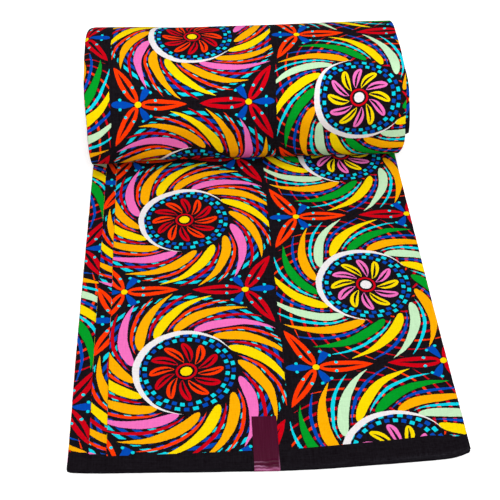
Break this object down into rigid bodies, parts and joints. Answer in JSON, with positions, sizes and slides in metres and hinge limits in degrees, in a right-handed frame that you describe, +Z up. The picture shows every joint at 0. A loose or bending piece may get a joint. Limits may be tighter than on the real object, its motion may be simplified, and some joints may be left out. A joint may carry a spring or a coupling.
{
  "type": "folded wax print fabric",
  "caption": "Printed cotton cloth folded into a long flat stack with layered edges, its far half rolled up loosely, and a plain label over the near edge.",
  "frame": {"origin": "bottom centre of the whole bundle, on the surface that it lies on", "axes": "+Z up, +Y from the near end towards the roll, +X to the right of someone at the near end"},
  "size_m": [0.3758, 0.5962, 0.1205],
  "materials": {
    "print_cotton": "plain woven cotton, wax printed on both faces, matt with a faint sheen",
    "label_film": "dark purple film, glossy"
  },
  "bodies": {
    "root": {"folded_stack": "print_cotton", "second_panel": "print_cotton", "top_panel": "print_cotton", "edge_label": "label_film"}
  },
  "joints": []
}
